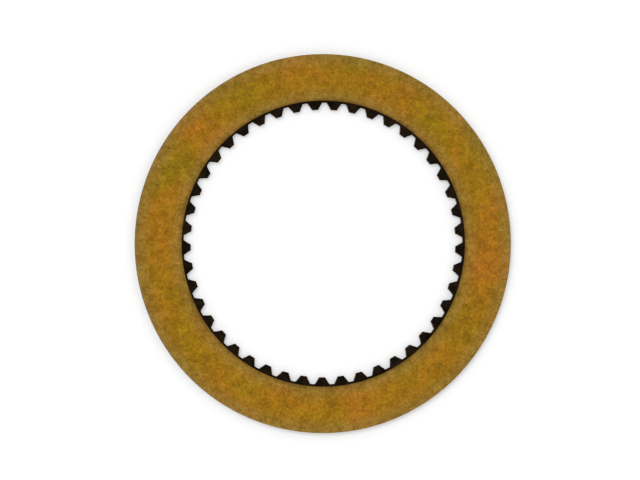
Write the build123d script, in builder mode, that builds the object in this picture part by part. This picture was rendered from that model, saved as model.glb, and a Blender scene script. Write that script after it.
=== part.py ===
"""Clutch disc: a toothed steel core plate with a friction facing bonded to each side.

The disc lies flat with its axis on Z. The origin is the centre of the core plate, midway through
its thickness, and a tooth of the internal spline is centred on +X. All sizes are in millimetres.
"""

import os
from math import acos, cos, degrees, pi, radians, sin, tan

from build123d import *

MM_PER_INCH = 25.4

# Internal spline: 30 degree involute with a flat root, 10 diametral pitch
TEETH = 45
DIAMETRAL_PITCH = 10
PRESSURE_ANGLE = radians(30)
ADDENDUM_FACTOR = 0.5
ROOT_DEPTH_FACTOR = 0.675
ROOT_CORNER_RADIUS = 0.5
HUB_BACKLASH = 0.08
FLANK_OVERRUN = 0.3
FLANK_POINTS = 4

# Core plate: blanked from steel sheet, its edges broken by tumbling
OUTER_DIAMETER = 158.4
CORE_THICKNESS = 1.8
CORE_EDGE_BREAK = 0.15

# Friction facings: one bonded ring on each side of the core, from just outside the tooth roots to the rim
FACING_THICKNESS = 0.7
FACING_ROOT_GAP = 0.9
FACING_EDGE_BREAK = 0.15

# Sizes that follow from the spline
module = MM_PER_INCH / DIAMETRAL_PITCH
pitch_radius = TEETH * module / 2
base_radius = pitch_radius * cos(PRESSURE_ANGLE)
tip_radius = pitch_radius - ADDENDUM_FACTOR * module
root_radius = pitch_radius + ROOT_DEPTH_FACTOR * module
space_width = pi * module / 2 + HUB_BACKLASH

# Sizes that follow from the plate and the facings
outer_radius = OUTER_DIAMETER / 2
facing_inner_radius = root_radius + FACING_ROOT_GAP
core_top = CORE_THICKNESS / 2


def involute(angle):
    """The involute function of a pressure angle, in radians."""
    return tan(angle) - angle


def flank_pressure_angle(radius):
    """Pressure angle of the tooth flank where it crosses a radius."""
    return acos(base_radius / radius)


def space_half_angle(radius):
    """Half the angle that a tooth space spans at a radius."""
    at_pitch = space_width / (2 * pitch_radius)
    return at_pitch + involute(PRESSURE_ANGLE) - involute(flank_pressure_angle(radius))


def flank_point(radius, side):
    """A point on one flank of the tooth space that is centred on +X."""
    half_angle = space_half_angle(radius)
    return (radius * cos(half_angle), side * radius * sin(half_angle))


# Tooth space: two involute flanks and a flat root, opening a little inside the tooth tips
flank_start = tip_radius - FLANK_OVERRUN
flank_step = (root_radius - flank_start) / (FLANK_POINTS - 1)
flank_radii = [flank_start + i * flank_step for i in range(FLANK_POINTS)]

with BuildSketch() as tooth_space:
    with BuildLine():
        lower_flank = Spline([flank_point(radius, -1) for radius in flank_radii])
        upper_flank = Spline([flank_point(radius, 1) for radius in flank_radii])
        ThreePointArc(lower_flank @ 1, (root_radius, 0), upper_flank @ 1)
        Line(upper_flank @ 0, lower_flank @ 0)
    make_face()
    fillet(tooth_space.vertices().sort_by(Axis.X)[-2:], ROOT_CORNER_RADIUS)


# Core plate: the ring is blanked with its spline, and every edge of both faces is broken
with BuildPart() as core_plate:
    with BuildSketch(Plane.XY.offset(-core_top)):
        Circle(outer_radius)
        Circle(tip_radius, mode=Mode.SUBTRACT)
        with PolarLocations(0, TEETH, start_angle=degrees(pi / TEETH)):
            add(tooth_space.sketch, mode=Mode.SUBTRACT)
    extrude(amount=CORE_THICKNESS)
    chamfer(core_plate.faces().filter_by(Axis.Z).edges(), CORE_EDGE_BREAK)
core_plate.part.label = "core_plate"


# Front facing: a flat ring, pressed on hot, which breaks the edges of its working face
with BuildPart() as front_facing:
    with BuildSketch(Plane.XY.offset(core_top)):
        Circle(outer_radius)
        Circle(facing_inner_radius, mode=Mode.SUBTRACT)
    extrude(amount=FACING_THICKNESS)
    chamfer(front_facing.faces().sort_by(Axis.Z)[-1].edges(), FACING_EDGE_BREAK)
front_facing.part.label = "front_facing"


# Back facing: the same ring on the other side of the core
with BuildPart() as back_facing:
    mirror(front_facing.part, about=Plane.XY)
back_facing.part.label = "back_facing"


os.makedirs("parts", exist_ok=True)
export_step(core_plate.part, "parts/core_plate.step")
export_step(front_facing.part, "parts/front_facing.step")
export_step(back_facing.part, "parts/back_facing.step")
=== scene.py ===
"""Looks of the clutch disc: a blackened steel core plate between two facings of friction paper.

The frame is in metres. Values whose names end in _MM are in millimetres, and those in _PX are pixels.
"""

from math import cos, hypot, pi, radians, sin

import bpy
from mathutils import Matrix, Vector, noise


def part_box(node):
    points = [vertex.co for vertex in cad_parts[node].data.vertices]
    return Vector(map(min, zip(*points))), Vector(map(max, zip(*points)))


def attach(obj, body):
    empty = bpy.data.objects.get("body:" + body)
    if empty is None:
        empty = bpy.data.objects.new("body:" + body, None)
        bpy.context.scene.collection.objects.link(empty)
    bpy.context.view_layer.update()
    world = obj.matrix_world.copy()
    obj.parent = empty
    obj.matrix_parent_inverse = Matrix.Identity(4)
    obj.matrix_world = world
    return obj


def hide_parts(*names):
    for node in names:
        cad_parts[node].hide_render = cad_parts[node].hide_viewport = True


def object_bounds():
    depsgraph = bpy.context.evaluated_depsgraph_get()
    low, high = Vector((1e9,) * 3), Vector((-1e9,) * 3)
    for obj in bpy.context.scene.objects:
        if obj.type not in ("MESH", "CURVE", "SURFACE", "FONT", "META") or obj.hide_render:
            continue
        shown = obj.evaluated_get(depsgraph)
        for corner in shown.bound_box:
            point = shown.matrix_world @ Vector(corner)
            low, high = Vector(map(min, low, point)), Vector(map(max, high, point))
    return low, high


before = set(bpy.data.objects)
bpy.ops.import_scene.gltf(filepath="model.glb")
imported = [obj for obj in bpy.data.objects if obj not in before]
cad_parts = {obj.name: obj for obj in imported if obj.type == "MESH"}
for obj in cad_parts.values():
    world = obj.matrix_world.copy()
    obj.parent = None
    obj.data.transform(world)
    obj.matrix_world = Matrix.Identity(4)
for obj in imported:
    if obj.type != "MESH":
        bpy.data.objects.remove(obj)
cad_low, cad_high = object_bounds()


# Core plate: a ring blanked from cold-rolled steel strip, spline teeth and all, in one stroke of the press.
# It is tumbled to break its edges, and the oven that cures the facings' adhesive leaves it brown-black.
# The solid keeps its own mesh, and only its material is made here.
MM = 0.001
OXIDE_PATCH_MM = 4.0
OXIDE_CONTRAST = (0.75, 1.25)
FINE_OXIDE_SHARE = 0.5
WALL_TILT = (0.5, 0.1)
BURNISHED_DEPTH_MM = 1.0
BREAK_WAVE_MM = 1.6
BREAK_SWING_MM = 0.35
BREAK_EDGE_MM = 0.05
EDGE_BREAK_ANGLE = 45.0
EDGE_BREAK_TILT = (0.15, 0.05)
EDGE_HIGHLIGHT_SHARE = 0.6
# The marks and grains of a real blanked strip are too fine to show, so they are drawn coarser.
ROLL_MARK_LENGTH_MM = 9.0
ROLL_MARK_WIDTH_MM = 0.35
OXIDE_GRAIN_MM = 0.45
DIE_STREAK_LENGTH_MM = 9.0
DIE_STREAK_WIDTH_MM = 0.3
FRACTURE_GRAIN_MM = 0.18
STEEL_RELIEF_MM = 0.02
STEEL_RELIEF_STRENGTH = 0.5
ROLLED_ROUGHNESS = (0.32, 0.56)
CUT_ROUGHNESS = (0.3, 0.7)
OXIDE_BLACK = "080604"
OXIDE_BROWN = "221910"
RUBBED_EDGE_HIGHLIGHT = "332B23"
FRACTURE_GREY = "191613"

core_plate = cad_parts["core_plate"]
core_top_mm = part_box("core_plate")[1].z / MM


def linear(colour):
    """Linear RGBA of an sRGB colour written as six hex digits."""
    channels = [int(colour[i:i + 2], 16) / 255 for i in (0, 2, 4)]
    return [c / 12.92 if c <= 0.04045 else ((c + 0.055) / 1.055) ** 2.4 for c in channels] + [1.0]


def bare_material(name):
    """A new material with an empty node tree."""
    material = bpy.data.materials.new(name)
    material.use_nodes = True
    material.node_tree.nodes.clear()
    return material


def add_node(tree, kind, settings=None, inputs=None):
    """A new node with its settings, and its inputs as values or as the nodes or outputs that feed them."""
    node = tree.nodes.new("ShaderNode" + kind)
    for name, value in (settings or {}).items():
        setattr(node, name, value)
    for key, value in (inputs or {}).items():
        socket = node.inputs[key] if isinstance(key, int) else next(
            s for s in node.inputs if s.enabled and s.name == key)
        if isinstance(value, bpy.types.Node):
            value = next(s for s in value.outputs if s.enabled)
        if isinstance(value, bpy.types.NodeSocket):
            tree.links.new(value, socket)
        else:
            socket.default_value = value
    return node


# Heat-blackened steel: a thin oxide skin, nearly black, satin on the rolled faces. The cut edges show the
# smooth band that the punch burnished and, below it, the dull band where the steel broke away.
steel = bare_material("heat_blackened_steel")
tree = steel.node_tree
place = add_node(tree, "TexCoord")
place_mm = add_node(tree, "VectorMath", {"operation": "SCALE"},
                    {"Vector": place.outputs["Object"], "Scale": 1 / MM})
height_mm = add_node(tree, "SeparateXYZ", None, {"Vector": place_mm}).outputs["Z"]
normal = add_node(tree, "SeparateXYZ", None, {"Vector": place.outputs["Normal"]})
facing_up = add_node(tree, "Math", {"operation": "ABSOLUTE"}, {0: normal.outputs["Z"]})
wall = add_node(tree, "MapRange", None,
                {"Value": facing_up, "From Min": WALL_TILT[0], "From Max": WALL_TILT[1]})

patches = add_node(tree, "TexNoise", None,
                   {"Vector": place_mm, "Scale": 1 / OXIDE_PATCH_MM, "Detail": 3.0, "Roughness": 0.55})
grain = add_node(tree, "TexNoise", None,
                 {"Vector": place_mm, "Scale": 1 / OXIDE_GRAIN_MM, "Detail": 2.0, "Roughness": 0.6})
along_strip = add_node(tree, "Mapping", {"vector_type": "TEXTURE"},
                       {"Vector": place_mm,
                        "Scale": (ROLL_MARK_LENGTH_MM, ROLL_MARK_WIDTH_MM, ROLL_MARK_WIDTH_MM)})
roll_marks = add_node(tree, "TexNoise", None, {"Vector": along_strip, "Scale": 1.0, "Detail": 3.0})
streaked = add_node(tree, "Math", {"operation": "ADD"}, {0: grain, 1: roll_marks})
oxide = add_node(tree, "Math", {"operation": "MULTIPLY_ADD"}, {0: streaked, 1: FINE_OXIDE_SHARE, 2: patches})
oxide_share = add_node(tree, "MapRange", None,
                       {"Value": oxide, "From Min": OXIDE_CONTRAST[0], "From Max": OXIDE_CONTRAST[1]})
skin = add_node(tree, "Mix", {"data_type": "RGBA"},
                {"Factor": oxide_share, "A": linear(OXIDE_BLACK), "B": linear(OXIDE_BROWN)})

along_stroke = add_node(tree, "Mapping", {"vector_type": "TEXTURE"},
                        {"Vector": place_mm,
                         "Scale": (DIE_STREAK_WIDTH_MM, DIE_STREAK_WIDTH_MM, DIE_STREAK_LENGTH_MM)})
die_streaks = add_node(tree, "TexNoise", None, {"Vector": along_stroke, "Scale": 1.0, "Detail": 2.0})
waver = add_node(tree, "TexNoise", None, {"Vector": place_mm, "Scale": 1 / BREAK_WAVE_MM, "Detail": 3.0})
break_mm = core_top_mm - BURNISHED_DEPTH_MM
break_line = add_node(tree, "MapRange", None,
                      {"Value": waver, "To Min": break_mm - BREAK_SWING_MM,
                       "To Max": break_mm + BREAK_SWING_MM})
above_break = add_node(tree, "Math", {"operation": "SUBTRACT"}, {0: height_mm, 1: break_line})
torn = add_node(tree, "MapRange", None,
                {"Value": above_break, "From Min": BREAK_EDGE_MM, "From Max": -BREAK_EDGE_MM})
fracture = add_node(tree, "Math", {"operation": "MULTIPLY"}, {0: torn, 1: wall})
fracture_grain = add_node(tree, "TexNoise", None,
                          {"Vector": place_mm, "Scale": 1 / FRACTURE_GRAIN_MM, "Detail": 3.0,
                           "Roughness": 0.7})
cut = add_node(tree, "Mix", {"data_type": "RGBA"},
               {"Factor": fracture, "A": skin, "B": linear(FRACTURE_GREY)})

# The chamfers of the broken edges are drawn lighter: partly steel rubbed bare by the tumbling, partly a
# painted highlight that gives the edges form.
from_edge = add_node(tree, "Math", {"operation": "SUBTRACT"},
                     {0: facing_up, 1: cos(radians(EDGE_BREAK_ANGLE))})
off_edge = add_node(tree, "Math", {"operation": "ABSOLUTE"}, {0: from_edge})
rubbed_edge_highlight = add_node(tree, "MapRange", None,
                   {"Value": off_edge, "From Min": EDGE_BREAK_TILT[0], "From Max": EDGE_BREAK_TILT[1],
                    "To Max": EDGE_HIGHLIGHT_SHARE})
steel_colour = add_node(tree, "Mix", {"data_type": "RGBA"},
                        {"Factor": rubbed_edge_highlight, "A": cut, "B": linear(RUBBED_EDGE_HIGHLIGHT)})

rolled_rough = add_node(tree, "MapRange", None,
                        {"Value": roll_marks, "To Min": ROLLED_ROUGHNESS[0], "To Max": ROLLED_ROUGHNESS[1]})
cut_rough = add_node(tree, "MapRange", None,
                     {"Value": fracture, "To Min": CUT_ROUGHNESS[0], "To Max": CUT_ROUGHNESS[1]})
steel_rough = add_node(tree, "Mix", None, {"Factor": wall, "A": rolled_rough, "B": cut_rough})
cut_relief = add_node(tree, "Mix", None, {"Factor": torn, "A": die_streaks, "B": fracture_grain})
steel_relief = add_node(tree, "Mix", None, {"Factor": wall, "A": roll_marks, "B": cut_relief})
steel_bump = add_node(tree, "Bump", None,
                      {"Strength": STEEL_RELIEF_STRENGTH, "Distance": STEEL_RELIEF_MM * MM,
                       "Height": steel_relief})
steel_shader = add_node(tree, "BsdfPrincipled", None,
                        {"Base Color": steel_colour, "Metallic": 1.0, "Roughness": steel_rough,
                         "Normal": steel_bump})
add_node(tree, "OutputMaterial", None, {"Surface": steel_shader})

core_plate.data.materials.clear()
core_plate.data.materials.append(steel)


# Friction facings: two rings die-cut from a sheet of friction paper, cellulose and aramid fibre soaked in
# phenolic resin, and bonded to the core plate under heat and pressure. The pressed face shows its felted
# fibres, and the cut edges are a little ragged.
GRID_MM = 0.42
WALL_ROWS = 4
EDGE_ROUND_MM = 0.15
EDGE_ROWS = 4
FELT_MM = 1.3
FELT_DEPTH_MM = 0.035
FELT_OCTAVES = 3
COCKLE_MM = 17.0
COCKLE_DEPTH_MM = 0.012
FRAY_MM = 0.9
FRAY_DEPTH_MM = 0.05
FRAY_OCTAVES = 2
OCTAVE_FADE = 0.8
OCTAVE_STEP = 2.0
SHARP_ANGLE = 60.0

facing_radii_mm = [hypot(v.co.x, v.co.y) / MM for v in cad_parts["front_facing"].data.vertices]
bore_mm, rim_mm = min(facing_radii_mm), max(facing_radii_mm)
middle_mm = (bore_mm + rim_mm) / 2
thickness_mm = cad_high.z / MM - core_top_mm

# Section of a facing as (radius, height over the bond): up the bore, over the face and down the rim.
wall_heights = [i * (thickness_mm - EDGE_ROUND_MM) / WALL_ROWS for i in range(WALL_ROWS)]
edge_turns = [i * pi / 2 / EDGE_ROWS for i in range(EDGE_ROWS + 1)]
edge = [(EDGE_ROUND_MM * (1 - cos(t)), thickness_mm - EDGE_ROUND_MM * (1 - sin(t))) for t in edge_turns]
face_start_mm = bore_mm + EDGE_ROUND_MM
face_width_mm = rim_mm - bore_mm - 2 * EDGE_ROUND_MM
face_steps = round(face_width_mm / GRID_MM)
section = [(bore_mm, height) for height in wall_heights]
section += [(bore_mm + inset, height) for inset, height in edge]
section += [(face_start_mm + face_width_mm * i / face_steps, thickness_mm) for i in range(1, face_steps)]
section += [(rim_mm - inset, height) for inset, height in reversed(edge)]
section += [(rim_mm, height) for height in reversed(wall_heights)]


def facing(name, node, outward):
    """One facing, with the relief of its pressed face and its ragged edges, in place of the plain ring."""
    columns = round(2 * pi * middle_mm / GRID_MM)
    points = []
    for i in range(columns):
        angle = 2 * pi * i / columns
        for radius, height in section:
            spot = Vector((radius * cos(angle), radius * sin(angle), outward * (core_top_mm + height)))
            felt = 0.5 + 0.5 * noise.fractal(spot / FELT_MM, OCTAVE_FADE, OCTAVE_STEP, FELT_OCTAVES)
            cockle = 0.5 + 0.5 * noise.noise(spot / COCKLE_MM)
            sunk = FELT_DEPTH_MM * min(max(felt, 0.0), 1.0) + COCKLE_DEPTH_MM * cockle
            height -= sunk * height / thickness_mm
            fray = abs(noise.fractal(spot / FRAY_MM, OCTAVE_FADE, OCTAVE_STEP, FRAY_OCTAVES))
            to_edge = min(radius - bore_mm, rim_mm - radius)
            drawn_in = FRAY_DEPTH_MM * fray * max(0.0, 1 - to_edge / EDGE_ROUND_MM)
            radius += drawn_in if radius < middle_mm else -drawn_in
            points.append((radius * cos(angle) * MM, radius * sin(angle) * MM,
                           outward * (core_top_mm + height) * MM))

    rows = len(section)
    faces = []
    for i in range(columns):
        here, there = i * rows, (i + 1) % columns * rows
        for j in range(rows):
            k = (j + 1) % rows
            quad = (here + j, here + k, there + k, there + j)
            faces.append(quad if outward > 0 else quad[::-1])

    mesh = bpy.data.meshes.new(name)
    mesh.from_pydata(points, [], faces)
    mesh.shade_smooth()
    mesh.set_sharp_from_angle(angle=radians(SHARP_ANGLE))
    ring = bpy.data.objects.new(name, mesh)
    bpy.context.scene.collection.objects.link(ring)
    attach(ring, "root")
    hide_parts(node)
    return ring


# Friction paper: dry, matte and porous, golden brown from its cured resin, which soaked in unevenly and
# mottles it from olive gold to orange brown. It is greyer towards its edges, and darker in a ragged band
# along the bore. Fibres, particles and clots fleck the face, and the cut edges show plies.
MOTTLE_MM = 22.0
MOTTLE_SHIFT_MM = (312.0, -230.0, 0.0)
TINT_STOPS = (0.22, 0.5, 0.78)
SOAK_MM = 3.4
SOAK_CONTRAST = (0.3, 0.7)
CLOUD_MM = 1.4
CLOUD_CONTRAST = (0.25, 0.75)
EDGE_BAND_MM = 7.0
EDGE_BAND_SHARE = 0.6
FACE_SHADE = (0.7, 1.3)
CUT_EDGE_TILT = (0.6, 0.2)
# Real fibres are 0.03 mm thick and the particles under 0.1 mm. Both are drawn coarser, so that they show.
FIBRE_LENGTH_MM = 4.0
FIBRE_WIDTH_MM = 0.2
FIBRE_SPACING_MM = 2.4
FIBRE_BOW_PER_MM = 0.16
FIBRE_LAYERS = 8
FIBRE_LAYER_STEP_MM = 211.0
PALE_FIBRE_SHARE = 0.4
DARK_FIBRE_SHARE = 0.45
PARTICLE_SPACING_MM = 1.5
PARTICLE_RADIUS_MM = 0.28
PARTICLE_BLUR_MM = 0.07
PARTICLE_SHARE = 0.8
CLOT_SPACING_MM = 8.0
CLOT_RADIUS_MM = 1.0
CLOT_BLUR_MM = 0.6
CLOT_SHARE = 0.5
BARE_CELLS = 0.35
PLY_LENGTH_MM = 1.4
PLY_MM = 0.09
PLY_CONTRAST = (0.3, 0.7)
PLY_SHADE = (0.6, 1.2)
BOND_LINE_MM = 0.12
BOND_LINE_SHARE = 0.8
BORE_DARK_BAND_MM = 1.6
BORE_DARK_SHARE = 0.55
PULP_GRAIN_MM = 0.3
STRAND_RELIEF_SHARE = 0.5
PAPER_RELIEF_MM = 0.04
PAPER_RELIEF_STRENGTH = 0.6
PAPER_ROUGHNESS = (0.95, 0.75)
PAPER_IOR = 1.5
PAPER_SPECULAR = 0.06
OLIVE_GOLD = "8B7409"
GOLDEN_BROWN = "9B6F0E"
ORANGE_BROWN = "AE6A1A"
EDGE_OLIVE = "87713A"
PALE_FIBRE = "BB9140"
DARK_FIBRE = "74500F"
PARTICLE_BROWN = "53370C"
CLOT_BROWN = "6A4A0E"
BOND_AND_BORE_BROWN = "4A3210"

paper = bare_material("resin_soaked_friction_paper")
tree = paper.node_tree
place = add_node(tree, "TexCoord")
place_mm = add_node(tree, "VectorMath", {"operation": "SCALE"},
                    {"Vector": place.outputs["Object"], "Scale": 1 / MM})
normal = add_node(tree, "SeparateXYZ", None, {"Vector": place.outputs["Normal"]})
facing_up = add_node(tree, "Math", {"operation": "ABSOLUTE"}, {0: normal.outputs["Z"]})
cut_edge = add_node(tree, "MapRange", None,
                    {"Value": facing_up, "From Min": CUT_EDGE_TILT[0], "From Max": CUT_EDGE_TILT[1]})

# The mottle is shifted so that its patches fall roughly as in the photograph.
mottle_place = add_node(tree, "VectorMath", {"operation": "ADD"}, {0: place_mm, 1: MOTTLE_SHIFT_MM})
mottle = add_node(tree, "TexNoise", None,
                  {"Vector": mottle_place, "Scale": 1 / MOTTLE_MM, "Detail": 3.0, "Roughness": 0.45,
                   "Distortion": 0.5})
tint = add_node(tree, "ValToRGB", None, {"Fac": mottle})
ramp = tint.color_ramp
ramp.elements[0].position = TINT_STOPS[0]
ramp.elements[0].color = linear(OLIVE_GOLD)
ramp.elements[1].position = TINT_STOPS[2]
ramp.elements[1].color = linear(ORANGE_BROWN)
ramp.elements.new(TINT_STOPS[1]).color = linear(GOLDEN_BROWN)

soak = add_node(tree, "TexNoise", None,
                {"Vector": place_mm, "Scale": 1 / SOAK_MM, "Detail": 3.0, "Roughness": 0.6})
flat_place = add_node(tree, "VectorMath", {"operation": "MULTIPLY"}, {0: place_mm, 1: (1.0, 1.0, 0.0)})
radius_mm = add_node(tree, "VectorMath", {"operation": "LENGTH"}, {0: flat_place}).outputs["Value"]
from_middle = add_node(tree, "Math", {"operation": "SUBTRACT"}, {0: radius_mm, 1: middle_mm})
off_middle = add_node(tree, "Math", {"operation": "ABSOLUTE"}, {0: from_middle})
uneven = add_node(tree, "Math", {"operation": "MULTIPLY_ADD"}, {0: soak, 1: EDGE_BAND_MM, 2: off_middle})
half_width_mm = rim_mm - middle_mm
greyed = add_node(tree, "MapRange", {"interpolation_type": "SMOOTHSTEP"},
                  {"Value": uneven, "From Min": half_width_mm - EDGE_BAND_MM / 2,
                   "From Max": half_width_mm + EDGE_BAND_MM / 2, "To Max": EDGE_BAND_SHARE})
toned = add_node(tree, "Mix", {"data_type": "RGBA"}, {"Factor": greyed, "A": tint, "B": linear(EDGE_OLIVE)})

cloud = add_node(tree, "TexNoise", None,
                 {"Vector": place_mm, "Scale": 1 / CLOUD_MM, "Detail": 4.0, "Roughness": 0.65})
soak_shade = add_node(tree, "MapRange", None,
                      {"Value": soak, "From Min": SOAK_CONTRAST[0], "From Max": SOAK_CONTRAST[1],
                       "To Min": FACE_SHADE[0], "To Max": FACE_SHADE[1]})
cloud_shade = add_node(tree, "MapRange", None,
                       {"Value": cloud, "From Min": CLOUD_CONTRAST[0], "From Max": CLOUD_CONTRAST[1],
                        "To Min": FACE_SHADE[0], "To Max": FACE_SHADE[1]})
face_shade = add_node(tree, "Math", {"operation": "MULTIPLY"}, {0: soak_shade, 1: cloud_shade})
in_plies = add_node(tree, "Mapping", {"vector_type": "TEXTURE"},
                    {"Vector": place_mm, "Scale": (PLY_LENGTH_MM, PLY_LENGTH_MM, PLY_MM)})
plies = add_node(tree, "TexNoise", None, {"Vector": in_plies, "Scale": 1.0, "Detail": 3.0})
ply_shade = add_node(tree, "MapRange", None,
                     {"Value": plies, "From Min": PLY_CONTRAST[0], "From Max": PLY_CONTRAST[1],
                      "To Min": PLY_SHADE[0], "To Max": PLY_SHADE[1]})
shade = add_node(tree, "Mix", None, {"Factor": cut_edge, "A": face_shade, "B": ply_shade})
pulp = add_node(tree, "VectorMath", {"operation": "SCALE"}, {"Vector": toned, "Scale": shade})

# Each cell of a layer holds one fibre through its middle, turned and bowed by chance. A fibre is soft at
# its sides and fades towards its ends.
pale, dark = None, None
for i in range(FIBRE_LAYERS):
    step_mm = i * FIBRE_LAYER_STEP_MM
    layer = add_node(tree, "VectorMath", {"operation": "ADD"}, {0: place_mm, 1: (step_mm, -step_mm, 0.0)})
    cells = add_node(tree, "TexVoronoi", {"voronoi_dimensions": "2D"},
                     {"Vector": layer, "Scale": 1 / FIBRE_SPACING_MM})
    chance = add_node(tree, "SeparateColor", None, {"Color": cells.outputs["Color"]})
    from_centre = add_node(tree, "VectorMath", {"operation": "SUBTRACT"},
                           {0: layer, 1: cells.outputs["Position"]})
    turn = add_node(tree, "MapRange", None, {"Value": chance.outputs["Red"], "To Max": pi})
    laid = add_node(tree, "VectorRotate", {"rotation_type": "Z_AXIS"}, {"Vector": from_centre, "Angle": turn})
    spot = add_node(tree, "SeparateXYZ", None, {"Vector": laid})
    bow = add_node(tree, "MapRange", None,
                   {"Value": chance.outputs["Green"], "To Min": -FIBRE_BOW_PER_MM,
                    "To Max": FIBRE_BOW_PER_MM})
    squared = add_node(tree, "Math", {"operation": "POWER"}, {0: spot.outputs["X"], 1: 2.0})
    aside = add_node(tree, "Math", {"operation": "MULTIPLY_ADD"}, {0: squared, 1: bow, 2: spot.outputs["Y"]})
    off_line = add_node(tree, "Math", {"operation": "ABSOLUTE"}, {0: aside})
    along = add_node(tree, "Math", {"operation": "ABSOLUTE"}, {0: spot.outputs["X"]})
    strand = add_node(tree, "MapRange", None,
                      {"Value": off_line, "From Min": FIBRE_WIDTH_MM / 2, "From Max": FIBRE_WIDTH_MM / 5})
    ends = add_node(tree, "MapRange", None,
                    {"Value": along, "From Min": FIBRE_LENGTH_MM / 2, "From Max": FIBRE_LENGTH_MM / 3})
    fibre = add_node(tree, "Math", {"operation": "MULTIPLY"}, {0: strand, 1: ends})
    if i % 2:
        dark = add_node(tree, "Math", {"operation": "MAXIMUM"}, {0: fibre, 1: dark or 0.0})
    else:
        pale = add_node(tree, "Math", {"operation": "MAXIMUM"}, {0: fibre, 1: pale or 0.0})

pale_most = add_node(tree, "MapRange", None,
                     {"Value": cut_edge, "To Min": PALE_FIBRE_SHARE, "To Max": 0.0})
dark_most = add_node(tree, "MapRange", None,
                     {"Value": cut_edge, "To Min": DARK_FIBRE_SHARE, "To Max": 0.0})
pale_share = add_node(tree, "Math", {"operation": "MULTIPLY"}, {0: pale, 1: pale_most})
dark_share = add_node(tree, "Math", {"operation": "MULTIPLY"}, {0: dark, 1: dark_most})
lightened = add_node(tree, "Mix", {"data_type": "RGBA"},
                     {"Factor": pale_share, "A": pulp, "B": linear(PALE_FIBRE)})
flecked = add_node(tree, "Mix", {"data_type": "RGBA"},
                   {"Factor": dark_share, "A": lightened, "B": linear(DARK_FIBRE)})

# Particles are small and sharp, and clots are larger, fainter and soft.
for spacing_mm, largest_mm, blur_mm, most, fleck_brown in (
        (PARTICLE_SPACING_MM, PARTICLE_RADIUS_MM, PARTICLE_BLUR_MM, PARTICLE_SHARE, PARTICLE_BROWN),
        (CLOT_SPACING_MM, CLOT_RADIUS_MM, CLOT_BLUR_MM, CLOT_SHARE, CLOT_BROWN)):
    cells = add_node(tree, "TexVoronoi", None, {"Vector": place_mm, "Scale": 1 / spacing_mm})
    chance = add_node(tree, "SeparateColor", None, {"Color": cells.outputs["Color"]})
    fleck_reach = add_node(tree, "MapRange", None,
                           {"Value": chance, "From Min": BARE_CELLS, "To Max": largest_mm / spacing_mm})
    inside = add_node(tree, "Math", {"operation": "SUBTRACT"}, {0: fleck_reach, 1: cells.outputs["Distance"]})
    fleck = add_node(tree, "MapRange", None,
                     {"Value": inside, "From Max": blur_mm / spacing_mm, "To Max": most})
    flecked = add_node(tree, "Mix", {"data_type": "RGBA"},
                       {"Factor": fleck, "A": flecked, "B": linear(fleck_brown)})

height_mm = add_node(tree, "SeparateXYZ", None, {"Vector": place_mm}).outputs["Z"]
height_out = add_node(tree, "Math", {"operation": "ABSOLUTE"}, {0: height_mm})
bond_line = add_node(tree, "MapRange", None,
                     {"Value": height_out, "From Min": core_top_mm + BOND_LINE_MM, "From Max": core_top_mm,
                      "To Max": BOND_LINE_SHARE})
# The face is drawn darker in a ragged band along the bore, in the brown of the bond line; the bond line
# itself is the dark adhesive joint.
from_bore = add_node(tree, "Math", {"operation": "SUBTRACT"}, {0: radius_mm, 1: bore_mm})
ragged_from_bore = add_node(tree, "Math", {"operation": "MULTIPLY_ADD"}, {0: soak, 1: BORE_DARK_BAND_MM, 2: from_bore})
mean_soak_mm = BORE_DARK_BAND_MM / 2
bore_darkening = add_node(tree, "MapRange", None,
                      {"Value": ragged_from_bore, "From Min": mean_soak_mm + BORE_DARK_BAND_MM, "From Max": mean_soak_mm,
                       "To Max": BORE_DARK_SHARE})
bond_line_and_bore_dark = add_node(tree, "Math", {"operation": "MAXIMUM"}, {0: bond_line, 1: bore_darkening})
paper_colour = add_node(tree, "Mix", {"data_type": "RGBA"},
                        {"Factor": bond_line_and_bore_dark, "A": flecked, "B": linear(BOND_AND_BORE_BROWN)})

pulp_grain = add_node(tree, "TexNoise", None,
                      {"Vector": place_mm, "Scale": 1 / PULP_GRAIN_MM, "Detail": 3.0, "Roughness": 0.7})
strands = add_node(tree, "Math", {"operation": "MAXIMUM"}, {0: pale, 1: dark})
felt_relief = add_node(tree, "Math", {"operation": "MULTIPLY_ADD"},
                       {0: strands, 1: STRAND_RELIEF_SHARE, 2: pulp_grain})
paper_relief = add_node(tree, "Mix", None, {"Factor": cut_edge, "A": felt_relief, "B": plies})
paper_bump = add_node(tree, "Bump", None,
                      {"Strength": PAPER_RELIEF_STRENGTH, "Distance": PAPER_RELIEF_MM * MM,
                       "Height": paper_relief})
paper_rough = add_node(tree, "MapRange", None,
                       {"Value": soak, "To Min": PAPER_ROUGHNESS[0], "To Max": PAPER_ROUGHNESS[1]})
paper_shader = add_node(tree, "BsdfPrincipled", None,
                        {"Base Color": paper_colour, "Roughness": paper_rough, "IOR": PAPER_IOR,
                         "Specular IOR Level": PAPER_SPECULAR, "Normal": paper_bump})
add_node(tree, "OutputMaterial", None, {"Surface": paper_shader})

facing("front_friction_ring", "front_facing", 1).data.materials.append(paper)
facing("back_friction_ring", "back_facing", -1).data.materials.append(paper)


# Floor: a sheet of white studio paper under the disc. To the camera it is just white, apart from the
# disc's soft shadow.
FLOOR_SIZE_MM = 6000.0
FLOOR_WHITE = "E8E8E8"
GLOW_WHITE = "FFFFFF"
FLOOR_GLOW = 0.25

half_floor = FLOOR_SIZE_MM / 2 * MM
floor_mesh = bpy.data.meshes.new("floor")
floor_mesh.from_pydata([(-half_floor, -half_floor, cad_low.z), (half_floor, -half_floor, cad_low.z),
                        (half_floor, half_floor, cad_low.z), (-half_floor, half_floor, cad_low.z)],
                       [], [(0, 1, 2, 3)])
floor = bpy.data.objects.new("floor", floor_mesh)
bpy.context.scene.collection.objects.link(floor)


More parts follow.
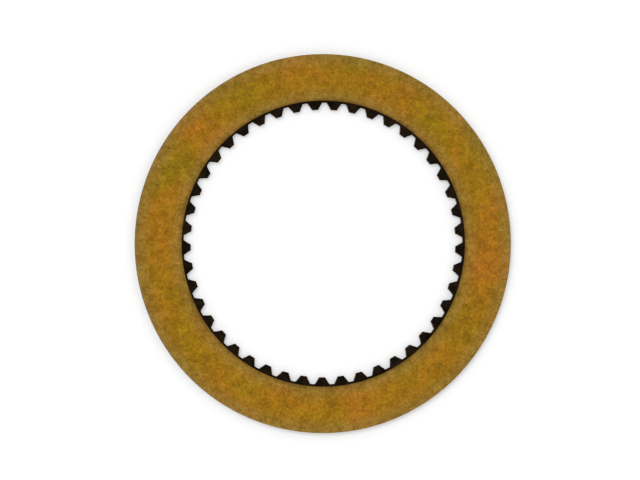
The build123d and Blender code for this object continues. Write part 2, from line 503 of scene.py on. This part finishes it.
def seen_share(tree):
    """One for what the camera sees, straight or mirrored, and nought for light that falls on the disc."""
    path = add_node(tree, "LightPath")
    mirrored = add_node(tree, "Math", {"operation": "MAXIMUM"},
                        {0: path.outputs["Is Glossy Ray"], 1: path.outputs["Is Transmission Ray"]})
    return add_node(tree, "Math", {"operation": "MAXIMUM"}, {0: path.outputs["Is Camera Ray"], 1: mirrored})


white_paper = bare_material("white_studio_paper")
tree = white_paper.node_tree
glow = add_node(tree, "Math", {"operation": "MULTIPLY"}, {0: seen_share(tree), 1: FLOOR_GLOW})
floor_shader = add_node(tree, "BsdfPrincipled", None,
                        {"Base Color": linear(FLOOR_WHITE), "Roughness": 1.0, "Specular IOR Level": 0.0,
                         "Emission Color": linear(GLOW_WHITE), "Emission Strength": glow})
add_node(tree, "OutputMaterial", None, {"Surface": floor_shader})
floor_mesh.materials.append(white_paper)


# Light: the even white of a light tent, with a broad key light from the upper left. The key light is as
# strong all over, so that the floor stays white up to its far edge.
TENT_LIGHT = 0.69
TENT_WHITE = "FFFFFF"
KEY_LIGHT = 0.99
KEY_SPREAD = 34.0
KEY_FROM = (-0.5, 0.36, 1.3)

world = bpy.data.worlds.new("light_tent")
bpy.context.scene.world = world
world.use_nodes = True
tree = world.node_tree
tree.nodes.clear()
tent = add_node(tree, "Background", None, {"Color": linear(TENT_WHITE), "Strength": TENT_LIGHT})
backdrop = add_node(tree, "Background", None, {"Color": linear(TENT_WHITE), "Strength": 1.0})
either = add_node(tree, "MixShader", None, {0: seen_share(tree), 1: tent, 2: backdrop})
add_node(tree, "OutputWorld", None, {"Surface": either})

key_data = bpy.data.lights.new("key_light", "SUN")
key_data.energy = KEY_LIGHT
key_data.angle = radians(KEY_SPREAD)
key_light = bpy.data.objects.new("key_light", key_data)
key_light.location = KEY_FROM
key_light.rotation_euler = (-key_light.location).to_track_quat("-Z", "Y").to_euler()
bpy.context.scene.collection.objects.link(key_light)


# Camera: far above the disc and a little to the left of its axis, so that it shows the disc slightly taller
# than wide, and turned so that the spline teeth come round as in the photograph.
PHOTO_WIDTH_PX = 640
PHOTO_HEIGHT_PX = 480
DISC_CENTRE_PX = (323.2, 243.6)
DISC_RADIUS_PX = 189.5
CAMERA_DISTANCE_MM = 4000.0
CAMERA_LEAN = 8.0
TOOTH_TURN = 2.45

pixel_mm = rim_mm / DISC_RADIUS_PX
lean = radians(CAMERA_LEAN)
roll = radians(TOOTH_TURN)
back = Vector((-sin(lean), 0.0, cos(lean)))
right = Vector((cos(lean) * cos(roll), sin(roll), sin(lean) * cos(roll)))
up = back.cross(right)
aim_right_mm = (PHOTO_WIDTH_PX / 2 - DISC_CENTRE_PX[0]) * pixel_mm
aim_up_mm = (DISC_CENTRE_PX[1] - PHOTO_HEIGHT_PX / 2) * pixel_mm
aim_mm = right * aim_right_mm + up * aim_up_mm

camera_data = bpy.data.cameras.new("photo_view")
camera_data.lens = camera_data.sensor_width * CAMERA_DISTANCE_MM / (PHOTO_WIDTH_PX * pixel_mm)
camera = bpy.data.objects.new("photo_view", camera_data)
camera.matrix_world = Matrix.Translation((aim_mm + back * CAMERA_DISTANCE_MM) * MM) @ Matrix(
    (right, up, back)).transposed().to_4x4()
bpy.context.scene.collection.objects.link(camera)
bpy.context.scene.camera = camera
bpy.context.scene.view_settings.view_transform = "Standard"
